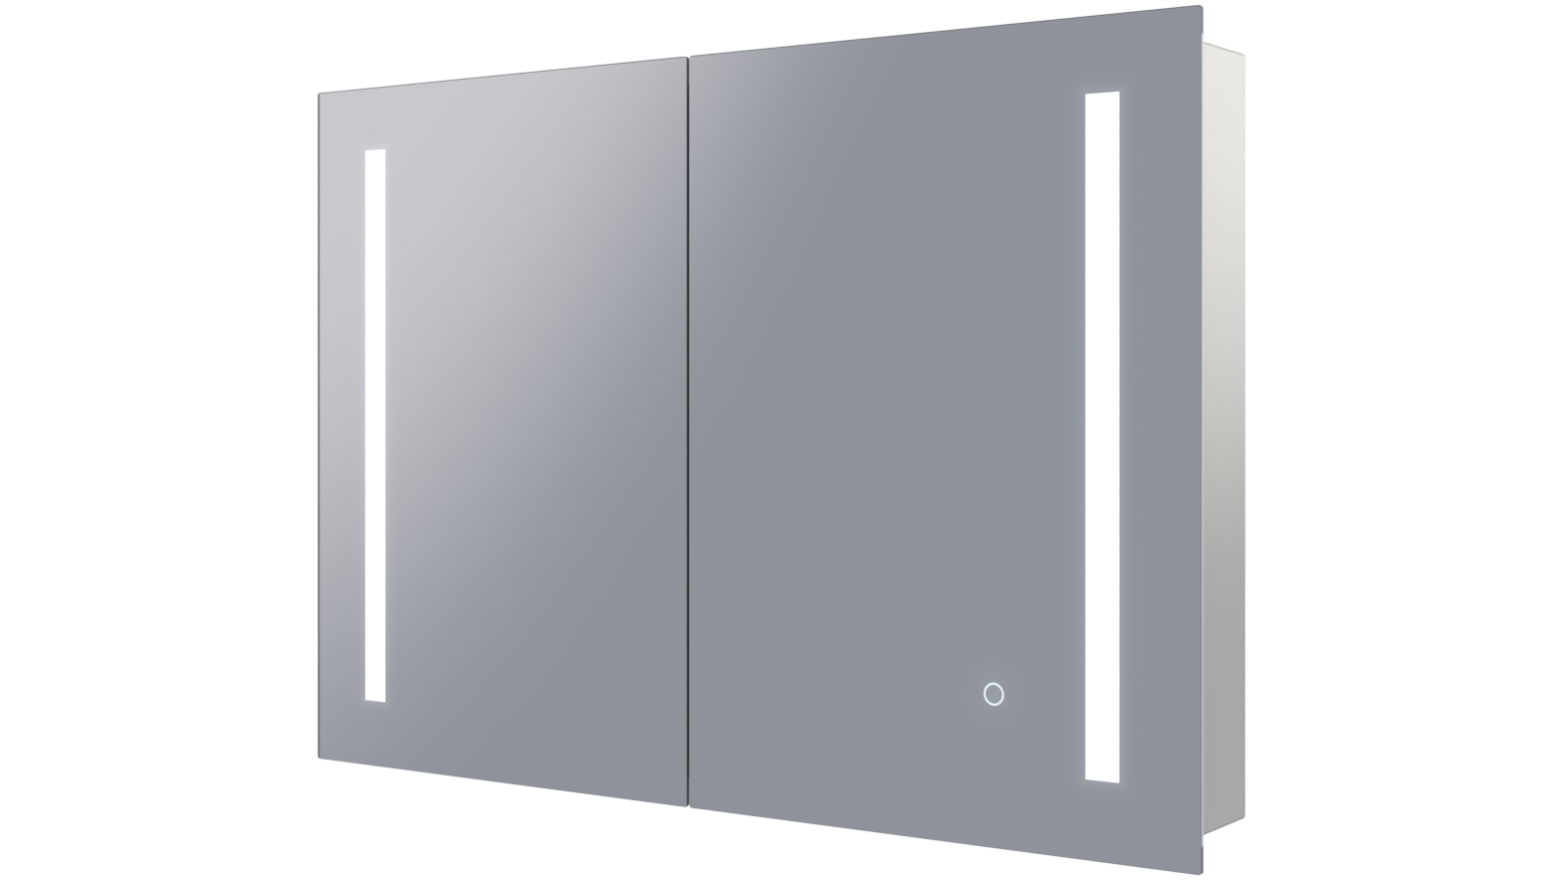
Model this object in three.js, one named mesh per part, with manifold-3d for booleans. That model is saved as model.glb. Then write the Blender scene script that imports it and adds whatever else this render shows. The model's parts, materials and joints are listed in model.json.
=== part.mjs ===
// Two-door mirror cabinet with lit strips, hung on a wall. Millimetres, +X right, +Z up.
// The front looks along -Y. The origin is the middle of the back face, which lies on the wall.
import * as THREE from 'three';
import { mergeVertices } from 'three/addons/utils/BufferGeometryUtils.js';
import Module from 'manifold-3d';

const wasm = await Module();
wasm.setup();

// Driving dimensions
const WIDTH = 1000;
const HEIGHT = 700;
const DEPTH = 135;
const FIT = 0.3;

// Case: painted boards, set in behind the overhanging mirrors
const SIDE_OVERHANG = 18;
const END_OVERHANG = 22;
const BOARD = 15;
const BACK_BOARD = 6;
const CASE_X = WIDTH / 2 - SIDE_OVERHANG;
const CASE_Z = HEIGHT / 2 - END_OVERHANG;
const INNER_X = CASE_X - BOARD;
const INNER_Z = CASE_Z - BOARD;

// Doors
const GLASS = 4;
const GLASS_CORNER = 3;
const DOOR_BODY = 20;
const DOOR_TO_CASE = 2;
const SPLIT_X = -14.3;
const SPLIT_GAP = 2.5;
const CASE_FRONT = -DEPTH + GLASS + DOOR_BODY + DOOR_TO_CASE;

// Hinge axis, from the case's outer corner and from the back of the door body
const PIVOT_IN = 6;
const PIVOT_FROM_BACK = 3;
const PIVOT_X = CASE_X - PIVOT_IN;
const PIVOT_Y = CASE_FRONT - DOOR_TO_CASE - PIVOT_FROM_BACK;

// Door members, in the door's own frame: u from the axis towards the free edge, v forward
const BODY_BACK = -PIVOT_FROM_BACK;
const BODY_FRONT = DOOR_BODY - PIVOT_FROM_BACK;
const STILE_U = -1;
const HINGE_STILE = 43;
const FREE_STILE = 28;
const RAIL = 28;
const BODY_Z = CASE_Z - 2;
const FREE_EDGE_INSET = 4;
const REBATE = 8;
const REBATE_DEEP = 3.6;
const INNER_GLASS = 3;

// Lit strip behind each mirror
const STRIP_WIDTH = 30;
const STRIP_LENGTH = 568;
const STRIP_FROM_EDGE = { left: 69, right: 73 };
const CHANNEL_WALL = 1.5;
const CHANNEL_BACK = 4;
const DIFFUSER = 2.5;
const LED_BOARD_WIDTH = 12;
const LED_BOARD = 1.6;

// Hinges
const HINGE_Z = 200;
const HINGE_HEIGHT = 50;
const KNUCKLE_R = 3;
const PIN_R = 1.5;
const PIN_BORE_R = 1.8;
const LEAF = 2;
const LEAF_REACH = 28;
const WING_REACH = 40;
const MIDDLE_KNUCKLE = 17.4;

// Shelves
const SHELF = 6;
const SHELF_Z = 105;
const SHELF_FRONT = -100;
const STRIP_PLATE = 3;
const STRIP_Y = -62;
const STRIP_DEEP = 40;
const STRIP_PAST_SHELF = 45;
const LEDGE = 10;
const LEDGE_THICK = 4;

// Leads
const LEAD_R = 1.5;
const LEAD_RUN_Z = 306;
const LEAD_RUN_Y = -40;
const LEAD_JOIN_Z = 273;
const LEAD_HOLE_R = 4;

// Inside the case: wall hangers, supply gland, lamp driver and its cover
const HANGER = { width: 26, height: 40, deep: 52, middleZ: 252, hookWidth: 14 };
const GLAND = { x: -60, z: 299, thread: 8, flange: 11, bore: 4 };
const DRIVER = { left: -300, right: -140, front: -60, back: -20, high: 23 };
const COVER = { wall: 2, under: 285, front: -66, endGap: 15 };

// Behind the right mirror, in its door's frame: touch control with its light ring, heating film
const TOUCH = { u: 166, z: -219, radius: 18, deep: 8, ringOuter: 9.8, ringInner: 7.8, ringDeep: 3 };
const FILM = { u: [130, 430], z: [-140, 220], thick: 0.6 };

const COLOURS = {
  paint: { color: 0xe4e3de, roughness: 0.5, metalness: 0 },
  board: { color: 0xdddcd7, roughness: 0.6, metalness: 0 },
  mirror: { color: 0x9396a0, roughness: 0.05, metalness: 1 },
  innerMirror: { color: 0xa8acb2, roughness: 0.05, metalness: 1 },
  glass: { color: 0xcfe3df, roughness: 0.08, metalness: 0 },
  frame: { color: 0xe8e8e5, roughness: 0.45, metalness: 0 },
  aluminium: { color: 0xb9bcc0, roughness: 0.35, metalness: 1 },
  steel: { color: 0xc4c6c8, roughness: 0.3, metalness: 1 },
  diffuser: { color: 0xffffff, roughness: 0.6, metalness: 0 },
  circuit: { color: 0xf2f0e6, roughness: 0.6, metalness: 0 },
  plastic: { color: 0xf0f0ee, roughness: 0.5, metalness: 0 },
  darkPlastic: { color: 0x26282b, roughness: 0.55, metalness: 0 },
  rubber: { color: 0xd8dcdc, roughness: 0.7, metalness: 0 },
  film: { color: 0x2d2f33, roughness: 0.6, metalness: 0 },
};

const materials = {};
for (const [name, look] of Object.entries(COLOURS)) {
  materials[name] = new THREE.MeshStandardMaterial(look);
}

// --- Shapes -------------------------------------------------------------

function block([x0, x1], [y0, y1], [z0, z1]) {
  const shape = new THREE.BoxGeometry(Math.abs(x1 - x0), Math.abs(y1 - y0), Math.abs(z1 - z0));
  return shape.translate((x0 + x1) / 2, (y0 + y1) / 2, (z0 + z1) / 2);
}

// An outline in the XY plane, carried up from z0 to z1.
function upright(outline, [z0, z1]) {
  const options = { depth: z1 - z0, bevelEnabled: false, curveSegments: 4 };
  return new THREE.ExtrudeGeometry(outline, options).translate(0, 0, z0);
}

// An outline in the XZ plane, carried from y0 back to y1.
function level(outline, [y0, y1]) {
  const options = { depth: y1 - y0, bevelEnabled: false, curveSegments: 4 };
  return new THREE.ExtrudeGeometry(outline, options).rotateX(Math.PI / 2).translate(0, y1, 0);
}

function polygon(points) {
  return new THREE.Shape(points.map(([x, y]) => new THREE.Vector2(x, y)));
}

function roundedRectangle([x0, x1], [y0, y1], radius) {
  const shape = new THREE.Shape();
  const quarter = Math.PI / 2;
  shape.absarc(x1 - radius, y1 - radius, radius, 0, quarter);
  shape.absarc(x0 + radius, y1 - radius, radius, quarter, 2 * quarter);
  shape.absarc(x0 + radius, y0 + radius, radius, 2 * quarter, 3 * quarter);
  shape.absarc(x1 - radius, y0 + radius, radius, 3 * quarter, 4 * quarter);
  return shape;
}

function rodAlongZ(radius, [z0, z1], sides = 20) {
  const shape = new THREE.CylinderGeometry(radius, radius, z1 - z0, sides);
  return shape.rotateX(Math.PI / 2).translate(0, 0, (z0 + z1) / 2);
}

function rodAlongY(radius, [y0, y1], sides = 24) {
  const shape = new THREE.CylinderGeometry(radius, radius, y1 - y0, sides);
  return shape.translate(0, (y0 + y1) / 2, 0);
}

function rodAlongX(radius, [x0, x1], sides = 20) {
  const shape = new THREE.CylinderGeometry(radius, radius, x1 - x0, sides);
  return shape.rotateZ(Math.PI / 2).translate((x0 + x1) / 2, 0, 0);
}

// --- Joining and cutting ------------------------------------------------

function solid(geometry) {
  const bare = geometry.clone();
  bare.deleteAttribute('normal');
  bare.deleteAttribute('uv');
  const merged = mergeVertices(bare, 1e-4);
  const vertProperties = new Float32Array(merged.attributes.position.array);
  const triVerts = new Uint32Array(merged.index.array);
  return new wasm.Manifold(new wasm.Mesh({ numProp: 3, vertProperties, triVerts }));
}

function surface(body) {
  const mesh = body.getMesh();
  const geometry = new THREE.BufferGeometry();
  geometry.setAttribute('position', new THREE.BufferAttribute(mesh.vertProperties, 3));
  geometry.setIndex(new THREE.BufferAttribute(mesh.triVerts, 1));
  geometry.computeVertexNormals();
  return geometry;
}

function cut(geometry, tools) {
  return surface(tools.reduce((body, tool) => body.subtract(solid(tool)), solid(geometry)));
}

function join(geometry, others) {
  return surface(others.reduce((body, other) => body.add(solid(other)), solid(geometry)));
}

function piece(name, geometry, material) {
  const mesh = new THREE.Mesh(geometry, materials[material]);
  mesh.name = name;
  return mesh;
}

// A flat board placed by its middle.
function board(name, [x0, x1], [y0, y1], [z0, z1], material) {
  const mesh = piece(name, new THREE.BoxGeometry(x1 - x0, y1 - y0, z1 - z0), material);
  mesh.position.set((x0 + x1) / 2, (y0 + y1) / 2, (z0 + z1) / 2);
  return mesh;
}

// --- Case ---------------------------------------------------------------

const BAYS = {
  left: [-INNER_X, SPLIT_X - BOARD / 2],
  right: [SPLIT_X + BOARD / 2, INNER_X],
};

function buildBackPanel() {
  const panel = block(
    [-INNER_X + FIT, INNER_X - FIT], [-BACK_BOARD, 0], [-INNER_Z + FIT, INNER_Z - FIT]);
  const through = [-BACK_BOARD - 1, 1];
  const tools = [rodAlongY(GLAND.thread + 2 * FIT, through).translate(GLAND.x, 0, GLAND.z)];
  for (const side of [-1, 1]) {
    const middle = side * (INNER_X - FIT - HANGER.width / 2);
    const halfWide = HANGER.hookWidth / 2 + 2;
    const halfHigh = HANGER.height / 2 - 4;
    tools.push(block([middle - halfWide, middle + halfWide], through,
      [HANGER.middleZ - halfHigh, HANGER.middleZ + halfHigh]));
  }
  return piece('back_panel', cut(panel, tools), 'board');
}

function buildDivider() {
  const panel = block(
    [SPLIT_X - BOARD / 2, SPLIT_X + BOARD / 2],
    [CASE_FRONT, -BACK_BOARD - FIT],
    [-INNER_Z + FIT, INNER_Z - FIT]);
  const leadHole = rodAlongX(LEAD_HOLE_R, [SPLIT_X - BOARD, SPLIT_X + BOARD])
    .translate(0, LEAD_RUN_Y, LEAD_RUN_Z);
  return piece('divider', cut(panel, [leadHole]), 'paint');
}

function buildCase() {
  const group = new THREE.Group();
  const deep = [CASE_FRONT, 0];
  const between = [-INNER_X + FIT, INNER_X - FIT];
  group.add(
    board('case_left_side', [-CASE_X, -INNER_X], deep, [-CASE_Z, CASE_Z], 'paint'),
    board('case_right_side', [INNER_X, CASE_X], deep, [-CASE_Z, CASE_Z], 'paint'),
    board('case_top', between, deep, [INNER_Z, CASE_Z], 'paint'),
    board('case_bottom', between, deep, [-CASE_Z, -INNER_Z], 'paint'),
    buildBackPanel(),
    buildDivider());
  return group;
}

// A plate on the wall of a bay with a ledge under each shelf.
function buildShelfStrip(name, wallX, inward) {
  const plateBack = wallX + inward * FIT;
  const plateFace = plateBack + inward * STRIP_PLATE;
  const ledgeTip = plateFace + inward * LEDGE;
  const end = SHELF_Z + STRIP_PAST_SHELF;
  const outline = [[plateBack, -end], [plateFace, -end]];
  for (const z of [-SHELF_Z, SHELF_Z]) {
    const top = z - SHELF / 2 - FIT;
    const under = top - LEDGE_THICK;
    outline.push([plateFace, under], [ledgeTip, under], [ledgeTip, top], [plateFace, top]);
  }
  outline.push([plateFace, end], [plateBack, end]);
  return piece(name, level(polygon(outline), [STRIP_Y, STRIP_Y + STRIP_DEEP]), 'aluminium');
}

function buildShelves() {
  const group = new THREE.Group();
  for (const [side, [x0, x1]] of Object.entries(BAYS)) {
    const clear = FIT + STRIP_PLATE + FIT;
    for (const [place, z] of [['lower', -SHELF_Z], ['upper', SHELF_Z]]) {
      group.add(board(`shelf_${side}_${place}`, [x0 + clear, x1 - clear],
        [SHELF_FRONT, -BACK_BOARD - 2], [z - SHELF / 2, z + SHELF / 2], 'glass'));
    }
    group.add(
      buildShelfStrip(`shelf_strip_${side}_west`, x0, 1),
      buildShelfStrip(`shelf_strip_${side}_east`, x1, -1));
  }
  return group;
}

// --- Wall hangers, driver and leads ---------------------------------------

// A block inside the case whose hook reaches through the back panel to the wall.
function buildHanger(name, side) {
  const near = INNER_X - FIT - HANGER.width;
  const housing = block([side * near, side * (near + HANGER.width)],
    [-BACK_BOARD - FIT - HANGER.deep, -BACK_BOARD - FIT],
    [HANGER.middleZ - HANGER.height / 2, HANGER.middleZ + HANGER.height / 2]);
  const middle = side * (near + HANGER.width / 2);
  const half = HANGER.hookWidth / 2;
  const hook = block([middle - half, middle + half], [-BACK_BOARD - 2, -0.5],
    [HANGER.middleZ, HANGER.middleZ + HANGER.height / 2 - 6]);
  return piece(name, join(housing, [hook]), 'plastic');
}

function buildDriverCover() {
  const rear = -BACK_BOARD - FIT;
  const top = INNER_Z - FIT;
  const profile = polygon([
    [rear, COVER.under], [rear, COVER.under + COVER.wall],
    [COVER.front + COVER.wall, COVER.under + COVER.wall], [COVER.front + COVER.wall, top],
    [COVER.front, top], [COVER.front, COVER.under],
  ]);
  const [x0, x1] = [BAYS.left[0] + COVER.endGap, BAYS.left[1] - FIT];
  const geometry = new THREE.ExtrudeGeometry(profile, { depth: x1 - x0, bevelEnabled: false });
  geometry.rotateX(Math.PI / 2).rotateZ(Math.PI / 2).translate(x0, 0, 0);
  return piece('driver_cover', geometry, 'paint');
}

function buildGland() {
  const { bore, thread, flange } = GLAND;
  const nut = BACK_BOARD + FIT;
  const profile = [
    [bore, 0.5], [thread, 0.5], [thread, nut], [flange, nut], [flange, nut + 6],
    [thread - 1, nut + 12], [bore, nut + 12], [bore, 0.5],
  ].map(([r, y]) => new THREE.Vector2(r, -y));
  const mesh = piece('cable_gland', new THREE.LatheGeometry(profile.reverse(), 24), 'darkPlastic');
  mesh.position.set(GLAND.x, 0, GLAND.z);
  return mesh;
}

function lead(name, points) {
  const curve = new THREE.CatmullRomCurve3(
    points.map((p) => new THREE.Vector3(...p)), false, 'centripetal');
  const circle = new THREE.Shape();
  circle.absarc(0, 0, LEAD_R, 0, 2 * Math.PI);
  const steps = Math.min(80, Math.ceil(curve.getLength() / (2.2 * LEAD_R)));
  const options = { steps, curveSegments: 4, bevelEnabled: false, extrudePath: curve };
  return piece(name, new THREE.ExtrudeGeometry(circle, options), 'darkPlastic');
}

// The last stretch of a case lead: forward along the side, then up the hinge axis.
function leadTail(side) {
  const tail = [
    [13.4, 58, 33], [13.4, 39, 17], [13.4, 20, -5], [13.3, 4, -13],
    [9.5, -0.6, -13.6], [4, 0, -12.5], [0.6, 0, -8], [0, 0, -3], [0, 0, 0],
  ];
  return tail.map(([u, back, rise]) => [side * (PIVOT_X - u), PIVOT_Y + back, LEAD_JOIN_Z + rise]);
}

function buildElectrics() {
  const group = new THREE.Group();
  const floor = COVER.under + COVER.wall + FIT;
  const outletZ = floor + DRIVER.high / 2;
  const corner = INNER_X - 12;
  group.add(
    board('led_driver', [DRIVER.left, DRIVER.right], [DRIVER.front, DRIVER.back],
      [floor, floor + DRIVER.high], 'plastic'),
    buildDriverCover(),
    buildGland(),
    lead('lead_left_case', [
      [DRIVER.left - FIT, LEAD_RUN_Y, outletZ], [DRIVER.left - 40, LEAD_RUN_Y, outletZ + 2],
      [DRIVER.left - 80, LEAD_RUN_Y, LEAD_RUN_Z], [-corner + 30, LEAD_RUN_Y, LEAD_RUN_Z],
      [-corner + 8, LEAD_RUN_Y - 3, LEAD_RUN_Z], ...leadTail(-1)]),
    lead('lead_right_case', [
      [DRIVER.right + FIT, LEAD_RUN_Y, outletZ], [DRIVER.right + 40, LEAD_RUN_Y, outletZ + 2],
      [DRIVER.right + 80, LEAD_RUN_Y, LEAD_RUN_Z], [SPLIT_X, LEAD_RUN_Y, LEAD_RUN_Z],
      [200, LEAD_RUN_Y, LEAD_RUN_Z], [corner - 30, LEAD_RUN_Y, LEAD_RUN_Z],
      [corner - 8, LEAD_RUN_Y - 3, LEAD_RUN_Z], ...leadTail(1)]));
  return group;
}

// --- Hinges ---------------------------------------------------------------
// Every door and hinge group has its origin on the hinge axis. inward is +1 where the
// door runs towards +X (left door) and -1 where it runs towards -X (right door).

function doorBlock(inward, [u0, u1], [v0, v1], [z0, z1]) {
  return block([inward * u0, inward * u1], [-v0, -v1], [z0, z1]);
}

function doorOutline(inward, points) {
  return polygon(points.map(([u, v]) => [inward * u, -v]));
}

function buildWing(name, inward) {
  const half = HINGE_HEIGHT / 2;
  const inner = BOARD - PIVOT_IN + FIT;
  const outline = doorOutline(inward, [
    [0, -KNUCKLE_R], [inner, -KNUCKLE_R], [inner, -WING_REACH], [inner + LEAF, -WING_REACH],
    [inner + LEAF, -KNUCKLE_R + LEAF], [0, -KNUCKLE_R + LEAF],
  ]);
  const middle = MIDDLE_KNUCKLE / 2 + FIT;
  const slot = doorBlock(inward, [-1, KNUCKLE_R + 0.5], [-KNUCKLE_R - 1, KNUCKLE_R], [-middle, middle]);
  const plate = cut(upright(outline, [-half, half]), [slot]);
  const ends = [[-half, -middle], [middle, half]].map((span) => rodAlongZ(KNUCKLE_R, span));
  const bore = rodAlongZ(PIN_BORE_R, [-half - 1, half + 1]);
  return piece(name, cut(join(plate, ends), [bore]), 'steel');
}

function buildLeaf(name, inward) {
  const half = HINGE_HEIGHT / 2;
  const middle = MIDDLE_KNUCKLE / 2;
  const plate = doorBlock(inward, [KNUCKLE_R + 0.5, LEAF_REACH], [1, 1 + LEAF], [-half, half]);
  const neck = doorBlock(inward, [0, KNUCKLE_R + 1], [1, 1 + LEAF], [-middle, middle]);
  const knuckle = rodAlongZ(KNUCKLE_R, [-middle, middle]);
  const bore = rodAlongZ(PIN_BORE_R, [-half, half]);
  return piece(name, cut(join(plate, [neck, knuckle]), [bore]), 'steel');
}

function buildHinge(side, place, inward) {
  const half = HINGE_HEIGHT / 2;
  const group = new THREE.Group();
  group.position.set(0, 0, place === 'upper' ? HINGE_Z : -HINGE_Z);
  group.add(
    buildWing(`hinge_${side}_${place}_wing`, inward),
    buildLeaf(`hinge_${side}_${place}_leaf`, inward),
    piece(`hinge_${side}_${place}_pin`, rodAlongZ(PIN_R, [-half, half], 16), 'steel'));
  return group;
}

// --- Doors ----------------------------------------------------------------

function buildHingeStile(side, inward) {
  const bar = doorBlock(inward, [STILE_U, STILE_U + HINGE_STILE],
    [BODY_BACK, BODY_FRONT - FIT], [-BODY_Z, BODY_Z]);
  const pocketHalf = HINGE_HEIGHT / 2 + 1;
  const edge = STILE_U + HINGE_STILE;
  const open = [STILE_U - 1, LEAF_REACH + 2];
  const tools = [-HINGE_Z, HINGE_Z].map((z) => doorBlock(inward, open,
    [BODY_BACK - 1, KNUCKLE_R + FIT], [z - pocketHalf, z + pocketHalf]));
  tools.push(
    doorBlock(inward, [STILE_U - 1, edge + 1], [BODY_BACK - 1, 8.5],
      [LEAD_JOIN_Z - 25, LEAD_JOIN_Z + 24]),
    doorBlock(inward, [edge - REBATE, edge + 1], [BODY_BACK - 1, BODY_BACK + REBATE_DEEP],
      [-BODY_Z + RAIL - REBATE, BODY_Z - RAIL + REBATE]));
  return piece(`stile_hinge_${side}`, cut(bar, tools), 'frame');
}

function buildFreeStile(side, inward, freeEdge) {
  const inner = freeEdge - FREE_STILE;
  const bar = doorBlock(inward, [inner, freeEdge], [BODY_BACK, BODY_FRONT - FIT], [-BODY_Z, BODY_Z]);
  const rebate = doorBlock(inward, [inner - 1, inner + REBATE],
    [BODY_BACK - 1, BODY_BACK + REBATE_DEEP], [-BODY_Z + RAIL - REBATE, BODY_Z - RAIL + REBATE]);
  return piece(`stile_free_${side}`, cut(bar, [rebate]), 'frame');
}

function buildRail(side, place, inward, span) {
  const upper = place === 'top';
  const [low, high] = upper ? [BODY_Z - RAIL, BODY_Z] : [-BODY_Z, -BODY_Z + RAIL];
  const bar = doorBlock(inward, span, [BODY_BACK, BODY_FRONT - FIT], [low, high]);
  const rebateZ = upper ? [low - 1, low + REBATE] : [high - REBATE, high + 1];
  const rebate = doorBlock(inward, [span[0] - 1, span[1] + 1],
    [BODY_BACK - 1, BODY_BACK + REBATE_DEEP], rebateZ);
  return piece(`rail_${place}_${side}`, cut(bar, [rebate]), 'frame');
}

// Channel, circuit board and diffuser of one lit strip, with stripU its edge nearest the hinge.
function buildStrip(side, inward, stripU) {
  const group = new THREE.Group();
  const front = BODY_FRONT - 0.5;
  const outer = [stripU - 1, stripU + STRIP_WIDTH + 1];
  const inner = [outer[0] + CHANNEL_WALL, outer[1] - CHANNEL_WALL];
  const base = CHANNEL_BACK + CHANNEL_WALL;
  const profile = doorOutline(inward, [
    [outer[0], CHANNEL_BACK], [outer[1], CHANNEL_BACK], [outer[1], front], [inner[1], front],
    [inner[1], base], [inner[0], base], [inner[0], front], [outer[0], front],
  ]);
  const half = STRIP_LENGTH / 2;
  const middle = stripU + STRIP_WIDTH / 2;
  const boardSpan = [middle - LED_BOARD_WIDTH / 2, middle + LED_BOARD_WIDTH / 2];
  group.add(
    piece(`led_channel_${side}`, upright(profile, [-half - 1, half + 1]), 'aluminium'),
    piece(`led_board_${side}`, doorBlock(inward, boardSpan,
      [base + FIT, base + FIT + LED_BOARD], [-half + 1, half - 1]), 'circuit'),
    piece(`diffuser_${side}`, doorBlock(inward, [inner[0] + FIT, inner[1] - FIT],
      [front - DIFFUSER, front], [-half, half]), 'diffuser'));
  return group;
}

// The lead goes on up the hinge axis, in through the stile and down to the circuit board.
function buildDoorLead(side, inward, stripU) {
  const middle = stripU + STRIP_WIDTH / 2;
  const path = [
    [0, 0, FIT], [0, 0, 5], [0.8, 0.5, 11], [5, 2.8, 16.5], [14, 5.4, 18.5], [34, 6.4, 18.5],
    [middle - 10, 7, 18.5], [middle - 3, 8.5, 17.5], [middle, 9.5, 14], [middle, 9.6, 11.8],
  ];
  const points = path.map(([u, v, rise]) => [inward * u, -v, LEAD_JOIN_Z + rise]);
  return lead(`lead_${side}_door`, points);
}

function buildBumpers(side, inward, freeEdge) {
  const group = new THREE.Group();
  for (const [place, z] of [['top', BODY_Z - 6], ['bottom', 6 - BODY_Z]]) {
    const disc = rodAlongY(4, [-BODY_BACK + FIT, -BODY_BACK + DOOR_TO_CASE - FIT], 20);
    const bumper = piece(`bumper_${side}_${place}`, disc, 'rubber');
    bumper.position.set(inward * (freeEdge - 14), 0, z);
    group.add(bumper);
  }
  return group;
}

// Capacitive sensor behind the mirror, with a light ring let into its face.
function buildTouchSensor(inward) {
  const group = new THREE.Group();
  const front = BODY_FRONT - 0.5;
  const { radius, deep, ringOuter, ringInner, ringDeep } = TOUCH;
  const ring = (outer, inner, [v0, v1]) => {
    const shape = new THREE.Shape();
    shape.absarc(0, 0, outer, 0, 2 * Math.PI);
    const hole = new THREE.Path();
    hole.absarc(0, 0, inner, 0, 2 * Math.PI, true);
    shape.holes.push(hole);
    const options = { depth: v1 - v0, bevelEnabled: false, curveSegments: 16 };
    return new THREE.ExtrudeGeometry(shape, options).rotateX(Math.PI / 2).translate(0, -v0, 0);
  };
  const puck = rodAlongY(radius, [-front, deep - front], 32);
  const groove = ring(ringOuter + FIT, ringInner - FIT, [front - ringDeep - FIT, front + 1]);
  group.add(
    piece('touch_sensor', cut(puck, [groove]), 'darkPlastic'),
    piece('touch_ring', ring(ringOuter, ringInner, [front - ringDeep, front]), 'diffuser'));
  group.position.set(inward * TOUCH.u, 0, TOUCH.z);
  return group;
}

function buildDoor(side, inward, mirrorEdge, stripU) {
  const group = new THREE.Group();
  group.position.set(-inward * PIVOT_X, PIVOT_Y, 0);
  const pivotToEdge = WIDTH / 2 - PIVOT_X;
  const mirrorSpan = [inward * -pivotToEdge, inward * mirrorEdge].sort((a, b) => a - b);
  const sheet = roundedRectangle(mirrorSpan, [-HEIGHT / 2, HEIGHT / 2], GLASS_CORNER);
  const freeEdge = mirrorEdge - FREE_EDGE_INSET;
  const railSpan = [STILE_U + HINGE_STILE + FIT, freeEdge - FREE_STILE - FIT];
  const innerSpan = [STILE_U + HINGE_STILE - REBATE + FIT, freeEdge - FREE_STILE + REBATE - FIT];
  const innerZ = BODY_Z - RAIL + REBATE - FIT;
  group.add(
    piece(`mirror_${side}`, level(sheet, [-BODY_FRONT - GLASS, -BODY_FRONT]), 'mirror'),
    buildHingeStile(side, inward),
    buildFreeStile(side, inward, freeEdge),
    buildRail(side, 'top', inward, railSpan),
    buildRail(side, 'bottom', inward, railSpan),
    piece(`inner_mirror_${side}`, doorBlock(inward, innerSpan,
      [BODY_BACK + FIT, BODY_BACK + FIT + INNER_GLASS], [-innerZ, innerZ]), 'innerMirror'),
    buildStrip(side, inward, stripU),
    buildDoorLead(side, inward, stripU),
    buildBumpers(side, inward, freeEdge),
    buildHinge(side, 'upper', inward),
    buildHinge(side, 'lower', inward));
  return group;
}

const EDGE_FROM_PIVOT = WIDTH / 2 - PIVOT_X;
const leftMirrorEdge = SPLIT_X - SPLIT_GAP / 2 + PIVOT_X;
const rightMirrorEdge = PIVOT_X - SPLIT_X - SPLIT_GAP / 2;

const leftDoor = buildDoor('left', 1, leftMirrorEdge, STRIP_FROM_EDGE.left - EDGE_FROM_PIVOT);
const rightDoor = buildDoor('right', -1, rightMirrorEdge, STRIP_FROM_EDGE.right - EDGE_FROM_PIVOT);

// Heating film on the back of the right mirror.
const film = doorBlock(-1, FILM.u, [BODY_FRONT - FIT - FILM.thick, BODY_FRONT - FIT], FILM.z);
rightDoor.add(buildTouchSensor(-1), piece('demister_pad', film, 'film'));

const cabinet = new THREE.Group();
cabinet.add(
  buildCase(),
  buildShelves(),
  buildHanger('hanger_left', -1),
  buildHanger('hanger_right', 1),
  buildElectrics(),
  leftDoor,
  rightDoor);

export default cabinet;
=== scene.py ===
"""Looks for the two-door mirror cabinet: finishes, fine shapes, studio and camera."""
import json
import math

import bmesh
import bpy
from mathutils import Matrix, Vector


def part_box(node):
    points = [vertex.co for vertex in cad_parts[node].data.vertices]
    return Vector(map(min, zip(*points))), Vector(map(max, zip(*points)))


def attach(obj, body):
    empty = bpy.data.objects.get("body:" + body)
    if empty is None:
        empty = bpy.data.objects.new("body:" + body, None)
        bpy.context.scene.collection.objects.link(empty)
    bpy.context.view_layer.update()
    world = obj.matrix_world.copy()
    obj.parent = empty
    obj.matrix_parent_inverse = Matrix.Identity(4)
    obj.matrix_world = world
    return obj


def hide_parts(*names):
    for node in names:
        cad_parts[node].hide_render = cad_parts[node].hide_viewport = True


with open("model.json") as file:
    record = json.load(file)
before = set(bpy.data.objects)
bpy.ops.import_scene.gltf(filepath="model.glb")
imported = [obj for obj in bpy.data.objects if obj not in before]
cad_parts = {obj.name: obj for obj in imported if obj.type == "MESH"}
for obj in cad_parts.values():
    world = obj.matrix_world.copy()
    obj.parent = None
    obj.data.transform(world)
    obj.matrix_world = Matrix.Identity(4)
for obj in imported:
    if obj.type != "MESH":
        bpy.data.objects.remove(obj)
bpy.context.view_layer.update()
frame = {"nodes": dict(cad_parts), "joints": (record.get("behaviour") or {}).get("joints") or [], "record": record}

MM = 0.001
SIDES = ("left", "right")
INWARD = {"left": 1, "right": -1}  # the way each door runs from its hinge, along X
DOOR = {"left": "left_door", "right": "right_door"}
CASE = "cabinet"
HINGES = [(side, place) for side in SIDES for place in ("upper", "lower")]
BACK = Vector((0, 1, 0))
UP = Vector((0, 0, 1))

# Mirrors: the ground border round the face, widest at the left end, and the frosted windows
OUTER_ARRIS = {"left": 3.4 * MM, "right": 0.3 * MM}
LOWER_ARRIS = 0.4 * MM
UPPER_ARRIS = 1.0 * MM
SPLIT_ARRIS = 0.4 * MM
ARRIS_DEPTH = 0.3 * MM
GLASS_CORNER = 3.0 * MM
WINDOW_WIDTH = {"left": 28.2 * MM, "right": 30.8 * MM}
WINDOW_RISE = 1.2 * MM
WINDOW_PROUD = 0.06 * MM
WINDOW_SUNK = 0.3 * MM
RING_LINE = 1.8 * MM

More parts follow.
